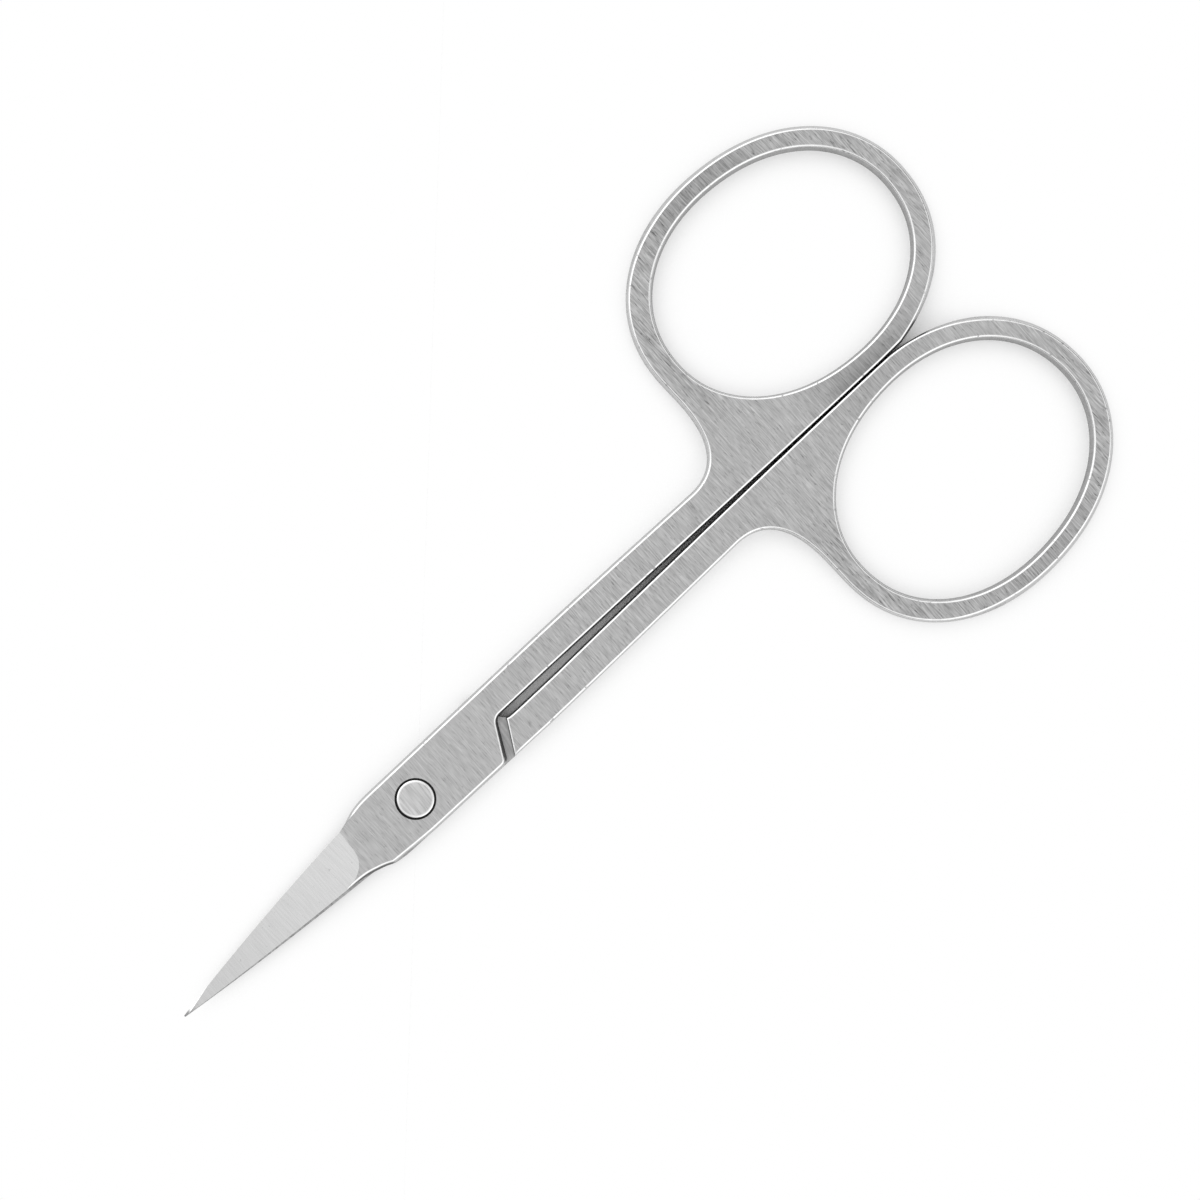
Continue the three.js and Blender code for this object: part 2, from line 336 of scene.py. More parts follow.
def half_outline(shape):
    """The outline of a half with its handle on +Y, counter-clockwise from the tip.

    The last number of each stretch is how many steps it has.
    """
    tip = (-BLADE_REACH, shape.tip_y - TIP_HALF_WIDTH)
    rear_x = BLOCK_REAR_X + shape.rear_shift
    slant = np.array([REAR_SLANT, 1]) / math.hypot(REAR_SLANT, 1) * CORNER_ROUND
    level = np.array([CORNER_ROUND, 0])
    rear = np.array([rear_x, BLOCK_INNER_Y])
    inner_y = shape.shank_inner_y
    nook = np.array([rear_x + (inner_y - BLOCK_INNER_Y) * REAR_SLANT, inner_y])
    parallel_end = (SHANK_PARALLEL_X, inner_y)
    ring = ring_side(shape)
    web_end = (ring[-1][0], shape.shank_outer_y + WEB_FILLET)
    web_start = (WEB_START_X, shape.shank_outer_y)
    taper_bow = (shape.shank_taper_bow_x, shape.shank_wide[1])
    neck_start = (OUTER_NECK_START_X, shape.block_outer_y)
    return np.concatenate(
        [
            np.array([tip]),
            bow(tip, SPINE_BOW, SPINE_END, 60),
            bow(SPINE_END, INNER_NECK_HOLLOW, INNER_NECK_END, 24),
            bow(INNER_NECK_END, INNER_BLOCK_BOW, INNER_BLOCK_START, 16),
            straight(INNER_BLOCK_START, rear - level, 16),
            bow(rear - level, rear, rear + slant, 12),
            straight(rear + slant, nook - slant, 8),
            bow(nook - slant, nook, nook + level, 12),
            straight(nook + level, parallel_end, 12),
            bow(parallel_end, shape.inner_edge_bow, (ring[0][0], shape.ring_meet_y), 70),
            ring,
            straight(ring[-1], web_end, 8),
            bow(web_end, (web_end[0], shape.shank_outer_y), web_start, 40),
            bow(web_start, taper_bow, shape.shank_wide, 40),
            straight(shape.shank_wide, neck_start, 20),
            bow(neck_start, (shape.outer_neck_bow_x, shape.block_outer_y), shape.outer_neck_mid, 16),
            bow(shape.outer_neck_mid, shape.outer_neck_hollow, shape.heel, 12),
            cutting_edge(shape, 70),
        ]
    )


def shoulder_x(y, other):
    """Place of a half's shoulder along X, clear of the other half's block."""
    rear_at_middle = BLOCK_REAR_X + other.rear_shift - BLOCK_INNER_Y * REAR_SLANT
    return rear_at_middle + SHOULDER_CLEAR - y * SHOULDER_SLANT


def split_at_shoulder(outline, other):
    """The outline with a point at each end of the shoulder, and the places of the two, inner end first.

    Points close to the two are left out, where the rounding of the corner would fold them over.
    """
    past = outline[:, 0] - shoulder_x(outline[:, 1], other)
    inner_at = int(np.flatnonzero((past[:-1] < 0) & (past[1:] >= 0))[0]) + 1
    outer_at = int(np.flatnonzero((past[:-1] >= 0) & (past[1:] < 0))[-1]) + 1
    ends = []
    for at in (inner_at, outer_at):
        share = past[at - 1] / (past[at - 1] - past[at])
        ends.append(outline[at - 1] + share * (outline[at] - outline[at - 1]))
    split = np.insert(outline, [inner_at, outer_at], ends, axis=0)
    clear = np.ones(len(split), bool)
    for end, room in zip(ends, (INNER_CORNER_CLEAR, OUTER_CORNER_CLEAR)):
        distance = np.linalg.norm(split - end, axis=1)
        clear &= (distance > room) | (distance == 0)
    split = split[clear]
    places = [int(np.flatnonzero((split == end).all(axis=1))[0]) for end in ends]
    return split, *places


def inward(loop):
    """For each point of a closed loop, the step that moves it into the steel on the loop's left."""
    ahead = np.roll(loop, -1, axis=0) - loop
    left = np.column_stack([-ahead[:, 1], ahead[:, 0]]) / np.linalg.norm(ahead, axis=1)[:, None]
    before = np.roll(left, 1, axis=0)
    return (left + before) / (1 + np.sum(left * before, axis=1))[:, None]


def rise(value, start, span):
    """A smooth change from 0 to 1 over a span that is counted from a starting place."""
    low, high = start + span[0], start + span[1]
    t = np.clip((value - low) / (high - low), 0, 1)
    return t * t * (3 - 2 * t)


def edge_sizes(points, wall_lean, rim_lean):
    """Lean of the wall, and width and drop of the rounding, at each point: hardly any on the blade.

    The wall's lean is the first of the given ones, and the second on the far side of the ring.
    """
    x, y = points.T
    handle_side = y > 0
    heel_x = UPPER.heel[0]
    ring_x, ring_y = RING_CENTRE
    heel_lean = rise(x, heel_x, HEEL_LEAN_SPAN)
    leaning = np.where(handle_side, heel_lean, rise(x, SPINE_END[0], SPINE_END_LEAN_SPAN))
    heel_round = HEEL_FIRST_ROUND_SHARE * rise(x, heel_x, HEEL_FIRST_ROUND_SPAN)
    heel_round += (1 - HEEL_FIRST_ROUND_SHARE) * rise(x, heel_x, HEEL_FULL_ROUND_SPAN)
    rounded = np.where(handle_side, heel_round, rise(x, SPINE_END[0], SPINE_END_ROUND_SPAN))
    on_neck = (y < 0) * (1 - rise(x, INNER_NECK_END[0], INNER_NECK_END_SPAN))
    past_block = rise(x, BLOCK_REAR_X, BLOCK_REAR_GAP_SPAN)
    before_ring_end = 1 - rise(x, ring_x, RING_CENTRE_GAP_SPAN)
    beside_gap = 1 - rise(y, UPPER.shank_inner_y, SHANK_INNER_GAP_SPAN)
    in_gap = past_block * before_ring_end * beside_gap
    far_rim = rise(x, ring_x, RING_CENTRE_FAR_RIM_SPAN)
    near_rim = rise(x, ring_x, RING_CENTRE_NEAR_RIM_SPAN)
    on_rim = np.where(y > ring_y, far_rim, near_rim)
    gap_lean = GAP_WALL_LEAN + (CLOSED_GAP_LEAN - GAP_WALL_LEAN) * rise(x, 0, GAP_CLOSING_X)
    lean = wall_lean + (gap_lean - wall_lean) * in_gap
    lean += (NECK_WALL_LEAN - wall_lean) * on_neck + (rim_lean - wall_lean) * on_rim
    sizes = ((lean, leaning), (EDGE_ROUND, rounded), (EDGE_DROP, rounded))
    return [BLADE_EDGE + (size - BLADE_EDGE) * share for size, share in sizes]


def under_edge_sizes(points, inner, outer, shoulder_count):
    """The same for the lower face, with a tighter edge along the shoulder, whose points come last."""
    away = np.minimum(np.linalg.norm(points - inner, axis=1), np.linalg.norm(points - outer, axis=1))
    away[len(points) - shoulder_count :] = 0
    share = rise(away, 0, SHOULDER_EDGE_SPAN)
    tight = (SHOULDER_LEAN, SHOULDER_ROUND, SHOULDER_DROP)
    sizes = edge_sizes(points, UNDER_WALL_LEAN, RIM_WALL_LEAN)
    return [near + (size - near) * share for near, size in zip(tight, sizes)]


# Meshes, in millimetres

def edge_rows(bm, points, sizes, top):
    """Rows of vertices over an edge, from the wall to the face. With top False, at the lower face."""
    lean, width, drop = sizes
    steps = inward(points)
    rows = []
    for turn in np.linspace(0, math.pi / 2, ROUND_STEPS + 1):
        place = points + steps * (lean + width * (1 - math.cos(turn)))[:, None]
        depth = drop * (1 - math.sin(turn))
        height = THICKNESS - depth if top else depth
        rows.append([bm.verts.new((x, y, z)) for (x, y), z in zip(place, height)])
    return rows


def strip(bm, low, high, slot):
    """Faces between two closed rows, whose outside is on the right of the way they run."""
    for i in range(len(low)):
        after = (i + 1) % len(low)
        face = bm.faces.new((low[i], low[after], high[after], high[i]))
        face.material_index = slot


def edge_strips(bm, middle, rows, top):
    """The wall from the middle row to the first row of the edge, and the rounding over the rows."""
    slots = [SIDE] + [EDGE] * ROUND_STEPS
    for slot, low, high in zip(slots, [middle, *rows], rows):
        if top:
            strip(bm, low, high, slot)
        else:
            strip(bm, high, low, slot)


def walk(loop, first, last):
    """The loop's vertices from one place to another, going forward."""
    count = (last - first) % len(loop)
    return [loop[(first + i) % len(loop)] for i in range(count + 1)]


def lid(bm, outer, opening, top):
    """A flat face round an opening, in two pieces that meet left and right of the opening."""
    left_in = opening.index(min(opening, key=lambda v: v.co.x))
    right_in = opening.index(max(opening, key=lambda v: v.co.x))
    left_out, right_out = (
        min(range(len(outer)), key=lambda i: (outer[i].co - opening[end].co).length)
        for end in (left_in, right_in)
    )
    near = walk(outer, left_out, right_out) + walk(opening, right_in, left_in)
    far = walk(outer, right_out, left_out) + walk(opening, left_in, right_in)
    for piece in (near, far):
        face = bm.faces.new(piece if top else piece[::-1])
        face.material_index = FACE


def half_plate(own, other):
    """A half before it is ground and drilled: a plate with rounded edges and the lap cut away below."""
    outline, inner_at, outer_at = split_at_shoulder(half_outline(own), other)
    shoulder = straight(outline[outer_at], outline[inner_at], SHOULDER_STEPS)[:-1]
    lower_outline = np.concatenate([outline[inner_at : outer_at + 1], shoulder])
    opening = oval(*own.opening_radii)[::-1] + own.opening_centre

    bm = bmesh.new()
    middle = [bm.verts.new((x, y, LAP_FACE)) for x, y in outline]
    shoulder_middle = [bm.verts.new((x, y, LAP_FACE)) for x, y in shoulder]
    opening_middle = [bm.verts.new((x, y, LAP_FACE)) for x, y in opening]
    upper = edge_rows(bm, outline, edge_sizes(outline, WALL_LEAN, RIM_WALL_LEAN), True)
    lower_sizes = under_edge_sizes(lower_outline, outline[inner_at], outline[outer_at], len(shoulder))
    lower = edge_rows(bm, lower_outline, lower_sizes, False)
    opening_sizes = edge_sizes(opening, WALL_LEAN, WALL_LEAN)
    opening_upper = edge_rows(bm, opening, opening_sizes, True)
    opening_lower = edge_rows(bm, opening, opening_sizes, False)

    edge_strips(bm, middle, upper, True)
    edge_strips(bm, middle[inner_at : outer_at + 1] + shoulder_middle, lower, False)
    edge_strips(bm, opening_middle, opening_upper, True)
    edge_strips(bm, opening_middle, opening_lower, False)
    lid(bm, upper[-1], opening_upper[-1], True)
    lid(bm, lower[-1], opening_lower[-1], False)
    lap = bm.faces.new((walk(middle, outer_at, inner_at) + shoulder_middle[::-1])[::-1])
    lap.material_index = LAP
    return bm


def block(corners, outward, slot):
    """A closed block that stands on a flat floor of the given corners. Its floor has the given material."""
    bm = bmesh.new()
    low = [bm.verts.new(corner) for corner in corners]
    high = [bm.verts.new(v.co + outward * CUT_CLEAR) for v in low]
    floor = bm.faces.new(low)
    bm.faces.new(high[::-1])
    for i in range(len(low)):
        after = (i + 1) % len(low)
        bm.faces.new((low[after], low[i], high[i], high[after]))
    bmesh.ops.recalc_face_normals(bm, faces=bm.faces)
    for face in bm.faces:
        face.material_index = SIDE
    floor.material_index = slot
    return bm


def grind_axes(shape):
    """Start of the ground bevel at the heel, and its directions along the blade and up to the spine."""
    start = Vector((*shape.heel, LAP_FACE + EDGE_THICKNESS))
    along = Vector((-BLADE_REACH - shape.heel[0], shape.tip_y - shape.heel[1], 0)).normalized()
    across = Vector((-along.y, along.x, 0)) * math.cos(GRIND_ANGLE) + Vector((0, 0, math.sin(GRIND_ANGLE)))
    return start, along, across


def grind_block(shape):
    """The space that the bevel grind takes off the blade's outer face."""
    start, along, across = grind_axes(shape)
    run_out = bow(
        (GRIND_LEAN * GRIND_STRAIGHT, GRIND_STRAIGHT),
        (GRIND_LEAN * GRIND_WIDTH, GRIND_WIDTH),
        (GRIND_RUN_OUT, GRIND_WIDTH),
        GRIND_STEPS,
    )
    plan = [
        (-GRIND_LEAN * CUT_CLEAR, -CUT_CLEAR),
        (GRIND_LEAN * GRIND_STRAIGHT, GRIND_STRAIGHT),
        *run_out,
        (BLADE_REACH, GRIND_WIDTH),
        (BLADE_REACH, -CUT_CLEAR),
    ]
    corners = [start + along * x + across * y for x, y in plan]
    return block(corners, along.cross(across), BEVEL)


def tip_block(shape):
    """The space that the small bevel takes off the cutting edge at the tip."""
    start, along, across = grind_axes(shape)
    normal = along.cross(across)
    edge = cutting_edge(shape, TIP_EDGE_STEPS)[int(TIP_EDGE_STEPS * TIP_BEVEL_SHARE)]
    line = []
    for x, y in ((-BLADE_REACH + TIP_BEVEL_START[0], shape.tip_y + TIP_BEVEL_START[1]), edge):
        height = (normal.x * (start.x - x) + normal.y * (start.y - y)) / normal.z
        line.append(Vector((x, y, start.z + height)))
    back = (line[1] - line[0]).normalized()
    out = Vector((-back.y, back.x, 0)).normalized()
    down = out * math.cos(TIP_BEVEL_ANGLE) - Vector((0, 0, math.sin(TIP_BEVEL_ANGLE)))
    near = line[0] - back * CUT_CLEAR
    far = line[1] + back * CUT_CLEAR
    corners = [near, far, far + down * CUT_CLEAR, near + down * CUT_CLEAR]
    return block(corners, back.cross(down), EDGE)


def turned(profile, slot):
    """A closed turned solid on the pivot axis, from (radius, height) pairs that go up its outside."""
    bm = bmesh.new()
    turns = np.linspace(0, 2 * math.pi, RIVET_SIDES, endpoint=False)
    rows = []
    for radius, height in profile:
        rows.append([bm.verts.new((radius * math.cos(t), radius * math.sin(t), height)) for t in turns])
    for low, high in zip(rows, rows[1:]):
        strip(bm, low, high, slot)
    for end in (rows[0][::-1], rows[-1]):
        face = bm.faces.new(end)
        face.material_index = slot
    return bm


def pivot_hole():
    """The space of the pivot hole and of the recess for the rivet's head."""
    floor = THICKNESS - RIVET_HEAD_HEIGHT - HEAD_CLEARANCE
    profile = [
        (PIVOT_HOLE_RADIUS, -CUT_CLEAR),
        (PIVOT_HOLE_RADIUS, floor),
        (HEAD_RECESS_RADIUS, floor),
        (HEAD_RECESS_RADIUS, THICKNESS + CUT_CLEAR),
    ]
    return turned(profile, GROOVE)


def rivet():
    """The rivet: a shank with a flush, round-rimmed head on each outer face."""
    rim = [
        (RIVET_HEAD_RADIUS - HEAD_RIM_ROUND * (1 - math.cos(t)), HEAD_RIM_DROP * (1 - math.sin(t)))
        for t in np.linspace(math.pi / 2, 0, ROUND_STEPS + 1)
    ]
    lower = [*rim, (RIVET_HEAD_RADIUS, RIVET_HEAD_HEIGHT), (RIVET_SHANK_RADIUS, RIVET_HEAD_HEIGHT)]
    upper = [(radius, THICKNESS - height) for radius, height in lower[::-1]]
    bm = turned(lower + upper, EDGE)
    for face in bm.faces:
        if len(face.verts) == RIVET_SIDES:
            face.material_index = FACE
    return bm


def as_object(bm, name, materials):
    """A new object of the scene, with the given mesh and materials."""
    mesh = bpy.data.meshes.new(name)
    bm.normal_update()
    bm.to_mesh(mesh)
    bm.free()
    for material in materials:
        mesh.materials.append(material)
    obj = bpy.data.objects.new(name, mesh)
    bpy.context.scene.collection.objects.link(obj)
    return obj


def cut(obj, tool_bm, materials):
    """Cuts a tool's space out of an object's mesh. The new faces take the tool's materials."""
    tool = as_object(tool_bm, "cutting_tool", materials)
    modifier = obj.modifiers.new("cut", "BOOLEAN")
    modifier.operation = "DIFFERENCE"
    modifier.solver = "EXACT"
    modifier.object = tool
    graph = bpy.context.evaluated_depsgraph_get()
    result = bpy.data.meshes.new_from_object(obj.evaluated_get(graph))
    obj.modifiers.clear()
    used = obj.data
    obj.data = result
    bpy.data.meshes.remove(used)
    tool_mesh = tool.data
    bpy.data.objects.remove(tool)
    bpy.data.meshes.remove(tool_mesh)


def merge_points(mesh):
    """Merges the points that coincide after cutting, so that no face without area is left there."""
    bm = bmesh.new()
    bm.from_mesh(mesh)
    bmesh.ops.remove_doubles(bm, verts=bm.verts, dist=MERGE_DISTANCE)
    bmesh.ops.dissolve_degenerate(bm, dist=MERGE_DISTANCE, edges=bm.edges)
    bm.to_mesh(mesh)
    bm.free()


def finish_mesh(obj, placing):
    """Brings a mesh to its place in metres, with smooth rounded edges beside flat faces."""
    mesh = obj.data
    mesh.name = obj.name
    merge_points(mesh)
    mesh.transform(Matrix.Scale(MM, 4) @ placing)
    mesh.shade_smooth()
    mesh.set_sharp_from_angle(angle=SHARP_ANGLE)
    weighted = obj.modifiers.new("flat_faces_stay_flat", "WEIGHTED_NORMAL")
    weighted.keep_sharp = True
    weighted.weight = FLAT_FACE_WEIGHT


# Materials

class Formula:
    """Shader nodes, written as short formulas."""

    def __init__(self, tree):
        self.tree = tree

    def node(self, kind, *inputs):
        """A node with its first sockets set to plain values or joined to other nodes."""
        node = self.tree.nodes.new(kind)
        for socket, value in zip(node.inputs, inputs):
            self.put(value, socket)
        return node

    def put(self, value, socket):
        """Joins a socket to another node's output, or sets it to a plain value."""
        if isinstance(value, bpy.types.NodeSocket):
            self.tree.links.new(value, socket)
        else:
            socket.default_value = value

    def math(self, operation, *values):
        node = self.node("ShaderNodeMath", *values)
        node.operation = operation
        return node.outputs[0]

    def plus(self, *values):
        total = values[0]
        for value in values[1:]:
            total = self.math("ADD", total, value)
        return total

    def times(self, first, second):
        return self.math("MULTIPLY", first, second)

    def ramp(self, value, low, high, at_low, at_high):
        """A smooth change from one value to another."""
        node = self.node("ShaderNodeMapRange", value, low, high, at_low, at_high)
        node.interpolation_type = "SMOOTHSTEP"
        return node.outputs[0]


class Steel(Formula):
    """A steel material in the frame's own axes."""

    def __init__(self, name):
        self.material = bpy.data.materials.new(name)
        self.material.use_nodes = True
        super().__init__(self.material.node_tree)
        self.shader = self.tree.nodes["Principled BSDF"]
        self.shader.inputs["Metallic"].default_value = 1.0
        self.place = self.node("ShaderNodeTexCoord").outputs["Object"]
        split = self.node("ShaderNodeSeparateXYZ", self.place)
        self.x, self.y, self.z = split.outputs

    def over(self, value, span, at_low, at_high):
        """A smooth change from one value to another, over a span in millimetres."""
        return self.ramp(value, span[0] * MM, span[1] * MM, at_low, at_high)

    def noise(self, scale, detail, place=None):
        """Noise with so many waves to the millimetre along each axis, around 0."""
        mapping = self.node("ShaderNodeMapping", place or self.place)
        mapping.inputs["Scale"].default_value = [waves / MM for waves in scale]
        texture = self.node("ShaderNodeTexNoise", mapping.outputs[0])
        texture.inputs["Scale"].default_value = 1.0
        texture.inputs["Detail"].default_value = detail
        return self.math("SUBTRACT", texture.outputs["Fac"], 0.5)

    def marks(self, scale, low, high, place=None):
        """Separate marks, 0 between them and 1 inside, where a noise passes from low to high."""
        return self.ramp(self.noise(scale, 2, place), low, high, 0.0, 1.0)

    def own_y(self):
        """Y towards the handle of the half, where one half lies over the other."""
        above = self.math("SIGN", self.plus(self.z, -THICKNESS / 2 * MM))
        return self.times(self.y, above)

    def wandering(self, reach):
        """The place, pushed along X by a slow noise, so that brush lines lean a little."""
        push = self.times(self.noise((0.07, 0.07, 0.07), 1), reach * MM)
        shift = self.node("ShaderNodeCombineXYZ", push)
        moved = self.node("ShaderNodeVectorMath", self.place, shift.outputs[0])
        return moved.outputs[0]

    def look(self, grey, roughness, height, depth):
        """Sets the colour, the roughness and a bump of the given depth in millimetres."""
        self.put(grey, self.shader.inputs["Base Color"])
        self.put(roughness, self.shader.inputs["Roughness"])
        bump = self.node("ShaderNodeBump")
        bump.inputs["Distance"].default_value = depth * MM
        self.put(height, bump.inputs["Height"])
        self.put(bump.outputs[0], self.shader.inputs["Normal"])
        return self.material


def brushed_face():
    """Fine lines brushed across the length, with scratches and specks, and most contrast on the rings.

    Half way along, the rings are darker with painted shade, the upper one most of all where it meets the
    lower.
    """
    steel = Steel("brushed_face")
    place = steel.wandering(0.8)
    bands = steel.noise((1.6, 0.05, 0.05), 2, place)
    streaks = steel.noise((9.0, 0.13, 0.13), 2, place)
    lines = steel.noise((12.0, 0.8, 0.8), 2, place)
    scratches = steel.marks((10.0, 1.3, 1.3), 0.11, 0.19, place)
    specks = steel.marks((5.0, 2.4, 2.4), 0.2, 0.27)
    from_middle = steel.math("ABSOLUTE", steel.y)
    on_shank = steel.over(steel.x, SHANK_BRUSH_X, 0.0, 1.0)
    on_ring = steel.over(from_middle, RING_BRUSH_Y, 0.0, 1.0)
    pattern = steel.plus(steel.times(bands, 0.2), steel.times(streaks, 0.5), steel.times(lines, 0.8))
    dark = steel.plus(steel.times(scratches, -0.26), steel.times(specks, -0.25))
    contrast = steel.plus(steel.times(on_shank, 0.3), steel.times(on_ring, 0.7), 0.8)
    factor = steel.plus(steel.times(steel.plus(pattern, dark), contrast), 1.0)
    along = steel.plus(steel.times(on_shank, -0.02), steel.times(on_ring, -0.028), FACE_GREY)
    # Painted shade half way along the rings, most on the upper one where it meets the lower
    ring_front = steel.over(steel.x, MID_RING_START_X, 0.0, 1.0)
    ring_back = steel.over(steel.x, MID_RING_END_X, 0.0, -1.0)
    upper_ring_shade = steel.over(steel.y, RINGS_MEET_Y, -0.05, -0.18)
    upper_shade_fade = steel.over(steel.y, MEETING_FADE_Y, 0.0, 0.08)
    ring_shade = steel.times(steel.plus(ring_front, ring_back), steel.plus(upper_ring_shade, upper_shade_fade))
    grey = steel.times(steel.plus(along, ring_shade), factor)
    roughness = steel.plus(steel.times(lines, 0.3), 0.34)
    return steel.look(grey, roughness, lines, 0.002)


def rounded_edge():
    """Tumbled edge with small nicks. Its high grey is partly polish and partly a painted highlight, and
    painted shade darkens it at the tip and at the heel.
    """
    steel = Steel("rounded_edge")
    waves = steel.noise((1.6, 1.6, 1.6), 3)
    nicks = steel.marks((2.2, 2.2, 2.2), 0.14, 0.22)
    # Painted shade at the tip, and at the heel on the handle's side
    tip = steel.over(steel.x, TIP_EDGE_X, -0.6, 0.0)
    before_heel = steel.over(steel.x, HEEL_EDGE_X, -0.5, 0.0)
    heel = steel.times(before_heel, steel.over(steel.own_y(), HEEL_SIDE_Y, 0.0, 1.0))
    grey = steel.plus(steel.times(waves, 0.25), steel.times(nicks, -0.4), tip, heel, EDGE_GREY)
    roughness = steel.plus(steel.times(waves, 0.2), steel.times(nicks, 0.2), 0.2)
    return steel.look(grey, roughness, waves, 0.01)


def pressed_side():
    """Sheared side wall with fine upright lines, darker in the ring openings with painted shade.

    It is matt and dark with painted shade where the two halves face each other and in the hollow of the
    neck.
    """
    steel = Steel("pressed_side")
    lines = steel.noise((3.5, 3.5, 0.35), 3)
    band = steel.noise((0.3, 0.3, 2.0), 2)
    from_middle = steel.math("ABSOLUTE", steel.y)
    # Painted shade, which also makes the wall matt, where the two halves face each other and in the hollow
    # of the neck
    reach = steel.over(steel.x, FACING_NARROWS_X, BLOCK_FACING_Y * MM, SHANK_FACING_Y * MM)
    outside = steel.math("SUBTRACT", from_middle, reach)
    facing_start = steel.over(steel.x, FACING_START_X, 0.0, 1.0)
    facing = steel.times(steel.over(outside, FACING_FADE, 1.0, 0.0), facing_start)
    neck_start = steel.over(steel.x, HOLLOW_START_X, 0.0, 0.92)
    neck_end = steel.over(steel.x, HOLLOW_END_X, 1.0, 0.0)
    spine_side = steel.over(steel.own_y(), HOLLOW_SIDE_Y, 1.0, 0.0)
    hollow = steel.times(steel.times(neck_start, neck_end), spine_side)
    shaded = steel.plus(facing, hollow)
    unshaded = steel.math("SUBTRACT", 1.0, shaded)
    # Painted shade in the ring openings: their walls are darker than the outer ones
    ring_x = steel.times(steel.plus(steel.x, -RING_CENTRE[0] * MM), 1 / (OPENING_WALL_RADII[0] * MM))
    ring_y = steel.times(steel.plus(from_middle, -RING_CENTRE[1] * MM), 1 / (OPENING_WALL_RADII[1] * MM))
    from_ring = steel.plus(steel.times(ring_x, ring_x), steel.times(ring_y, ring_y))
    plain = steel.ramp(from_ring, *OPENING_WALL_FADE, OPENING_WALL_SHADED_GREY, OUTER_WALL_GREY)
    unshaded_grey = steel.plus(steel.times(lines, 0.3), steel.times(band, 0.2), plain)
    share = steel.plus(steel.times(unshaded, 1 - SHADED_WALL_SHARE), SHADED_WALL_SHARE)
    grey = steel.times(unshaded_grey, share)
    roughness = steel.plus(steel.times(lines, 0.4), steel.times(shaded, 0.4), 0.3)
    steel.put(unshaded, steel.shader.inputs["Metallic"])
    steel.shader.inputs["Specular IOR Level"].default_value = 0.0
    steel.shader.inputs["Specular Tint"].default_value = (0.8, 0.8, 0.8, 1)
    return steel.look(grey, roughness, lines, 0.012)


def lap_face():
    """Milled lap, rubbed in circles about the pivot, with painted shade that darkens the corner at the
    shoulder.
    """
    steel = Steel("lap_face")
    radius = steel.math("SQRT", steel.plus(steel.times(steel.x, steel.x), steel.times(steel.y, steel.y)))
    drift_x, drift_y = steel.times(steel.x, RUB_DRIFT), steel.times(steel.y, RUB_DRIFT)
    circles = steel.node("ShaderNodeCombineXYZ", radius, drift_x, drift_y)
    rubbed = steel.noise((4.0, 1.0, 1.0), 3, circles.outputs[0])
    stains = steel.noise((0.9, 0.9, 0.9), 3)
    # Painted shade in the corner at the shoulder
    corner = steel.over(steel.x, LAP_CORNER_X, LAP_GREY, LAP_CORNER_SHADED_GREY)
    factor = steel.plus(steel.times(rubbed, 1.4), steel.times(stains, 0.5), 1.0)
    roughness = steel.plus(steel.times(rubbed, 0.3), 0.36)
    return steel.look(steel.times(corner, factor), roughness, rubbed, 0.004)


def ground_bevel():
    """Finer ground lines across the bevel, a few pits, and painted shade that darkens the tip."""
    steel = Steel("ground_bevel")
    place = steel.wandering(0.8)
    lines = steel.noise((7.5, 0.45, 0.45), 3, place)
    pits = steel.marks((3.5, 2.6, 2.6), 0.2, 0.26)
    along = steel.over(steel.x, BEVEL_LENGTH_X, BEVEL_TIP_GREY, BEVEL_HEEL_GREY)
    # Painted shade darkens the tip
    tip = steel.over(steel.x, TIP_BEVEL_X, -0.5, 0.0)
    factor = steel.plus(steel.times(lines, 0.45), steel.times(pits, -0.2), tip, 1.0)
    roughness = steel.plus(steel.times(lines, 0.25), 0.28)
    return steel.look(steel.times(along, factor), roughness, lines, 0.0015)


def shaded_groove():
    """Nearly black painted shade in the ring round the rivet head."""
    steel = Steel("shaded_groove")
    mottle = steel.noise((2.0, 2.0, 2.0), 3)
    grey = steel.plus(steel.times(mottle, 0.06), GROOVE_GREY)
    roughness = steel.plus(steel.times(mottle, 0.3), 0.5)
    return steel.look(grey, roughness, mottle, 0.01)


def rivet_face():
    """Rivet head, brushed flush with the halves."""
    steel = Steel("rivet_face")
    lines = steel.noise((6.5, 0.5, 0.5), 3, steel.wandering(1.5))
    clouds = steel.noise((0.8, 0.8, 0.8), 2)
    grey = steel.plus(steel.times(lines, 0.36), steel.times(clouds, 0.12), RIVET_GREY)
    roughness = steel.plus(steel.times(lines, 0.3), 0.32)
    return steel.look(grey, roughness, lines, 0.002)


edge_material = rounded_edge()
half_materials = [brushed_face(), edge_material, pressed_side(), lap_face(), ground_bevel(), shaded_groove()]
rivet_materials = [rivet_face(), edge_material]


# Pieces

def make_half(name, body, node, own, other, placing):
    """One half, cut from its plate, ground and drilled, on its body in place of its CAD node."""
    obj = as_object(half_plate(own, other), name, half_materials)
    for tool in (grind_block(own), tip_block(own), pivot_hole()):
        cut(obj, tool, half_materials)
    finish_mesh(obj, placing)
    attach(obj, body)
    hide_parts(node)


turned_over = Matrix.Translation((0, 0, THICKNESS)) @ Matrix.Rotation(math.pi, 4, "X")
make_half("upper_half_steel", "upper", "upper_half", UPPER, LOWER, Matrix.Identity(4))
make_half("lower_half_steel", "lower", "lower_half", LOWER, UPPER, turned_over)

rivet_piece = as_object(rivet(), "pivot_rivet_steel", rivet_materials)
finish_mesh(rivet_piece, Matrix.Identity(4))
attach(rivet_piece, "lower")
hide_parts("pivot_rivet")


# Floor, light and camera

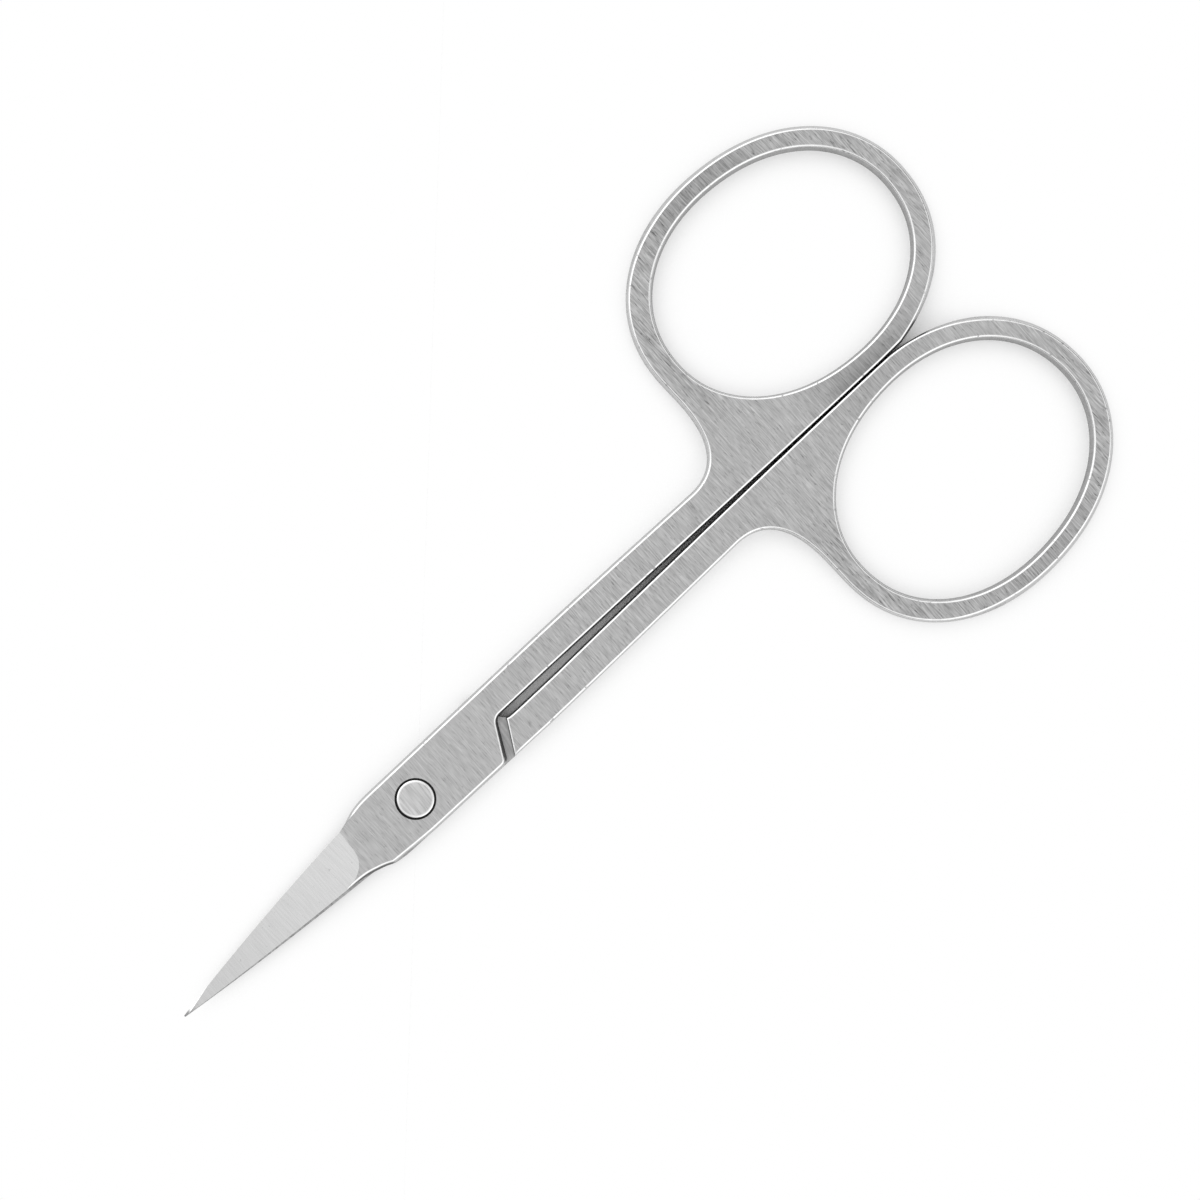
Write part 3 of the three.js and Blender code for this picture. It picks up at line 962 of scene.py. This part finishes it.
def make_floor():
    """A white floor, painted dark as shade deep in a narrow gap, with the outer part of its shadows partly
    filled by a painted white glow.
    """
    mesh = bpy.data.meshes.new("floor")
    reach = FLOOR_REACH * MM
    corners = [(-reach, -reach, 0), (reach, -reach, 0), (reach, reach, 0), (-reach, reach, 0)]
    mesh.from_pydata(corners, [], [(0, 1, 2, 3)])
    floor = bpy.data.objects.new("floor", mesh)
    floor.location.z = -FLOOR_DROP * MM
    bpy.context.scene.collection.objects.link(floor)
    material = bpy.data.materials.new("white_floor")
    material.use_nodes = True
    shade = Formula(material.node_tree)
    matt = shade.tree.nodes["Principled BSDF"]
    matt.inputs["Roughness"].default_value = 0.9
    matt.inputs["Specular IOR Level"].default_value = 0.0
    rays = shade.node("ShaderNodeLightPath").outputs
    seen = shade.math("MAXIMUM", rays["Is Camera Ray"], rays["Is Glossy Ray"])
    seen = shade.math("MAXIMUM", seen, rays["Is Transmission Ray"])
    occlusion = shade.node("ShaderNodeAmbientOcclusion")
    occlusion.samples = OPENNESS_SAMPLES
    occlusion.inputs["Distance"].default_value = OPENNESS_REACH * MM
    openness = occlusion.outputs["AO"]
    # Painted shade: the floor's colour turns dark where it is hardly open to the sky
    grey = shade.ramp(openness, *GAP_FLOOR_OPENNESS, GAP_FLOOR_GREY, FLOOR_GREY)
    shade.put(grey, matt.inputs["Base Color"])
    # Painted light: a white glow, seen by the camera and in reflections, fills the outer part of the
    # shadows
    deep = shade.ramp(openness, *DEEP_SHADOW_OPENNESS, 0.0, DEEP_SHADOW_FILL)
    shallow = shade.ramp(openness, *SHALLOW_SHADOW_OPENNESS, 0.0, SHALLOW_SHADOW_FILL)
    fill = shade.times(seen, shade.plus(deep, shallow))
    white = shade.node("ShaderNodeEmission")
    mix = shade.node("ShaderNodeMixShader", fill, matt.outputs[0], white.outputs[0])
    shade.put(mix.outputs[0], shade.tree.nodes["Material Output"].inputs["Surface"])
    mesh.materials.append(material)


def make_light():
    """A white studio: a greyer ceiling over the camera, and bright walls beside the scissors.

    The walls get dimmer towards the floor and beyond the scissors' ends, and +Y is the brighter side.
    """
    world = bpy.data.worlds.new("studio")
    bpy.context.scene.world = world
    world.use_nodes = True
    studio = Formula(world.node_tree)
    direction = studio.node("ShaderNodeTexCoord").outputs["Generated"]
    split = studio.node("ShaderNodeSeparateXYZ", direction)
    ramp = studio.node("ShaderNodeValToRGB", split.outputs["Z"])
    elements = ramp.color_ramp.elements
    while len(elements) < len(STUDIO_LEVELS):
        elements.new(0.5)
    for element, (position, level) in zip(elements, STUDIO_LEVELS):
        element.position = position
        element.color = (level, level, level, 1)
    background = studio.tree.nodes["Background"]
    studio.put(ramp.outputs["Color"], background.inputs["Color"])
    along, across = split.outputs["X"], split.outputs["Y"]
    sides = studio.math("SUBTRACT", studio.times(across, across), studio.times(along, along))
    strength = studio.plus(studio.times(across, BRIGHT_SIDE), sides, 1.0)
    studio.put(studio.math("MAXIMUM", strength, LEAST_STRENGTH), background.inputs["Strength"])


def make_camera():
    """The camera straight above, as far away and turned as in the photograph."""
    data = bpy.data.cameras.new("camera")
    data.sensor_width = SENSOR
    data.lens = SENSOR * CAMERA_HEIGHT / PHOTO_WIDTH
    data.clip_start = CLIP_START * MM
    camera = bpy.data.objects.new("camera", data)
    camera.location = (CAMERA_AIM[0] * MM, CAMERA_AIM[1] * MM, (THICKNESS + CAMERA_HEIGHT) * MM)
    camera.rotation_euler = (0, 0, CAMERA_TURN)
    bpy.context.scene.collection.objects.link(camera)
    bpy.context.scene.camera = camera


make_floor()
make_light()
make_camera()
bpy.context.scene.view_settings.view_transform = "Standard"
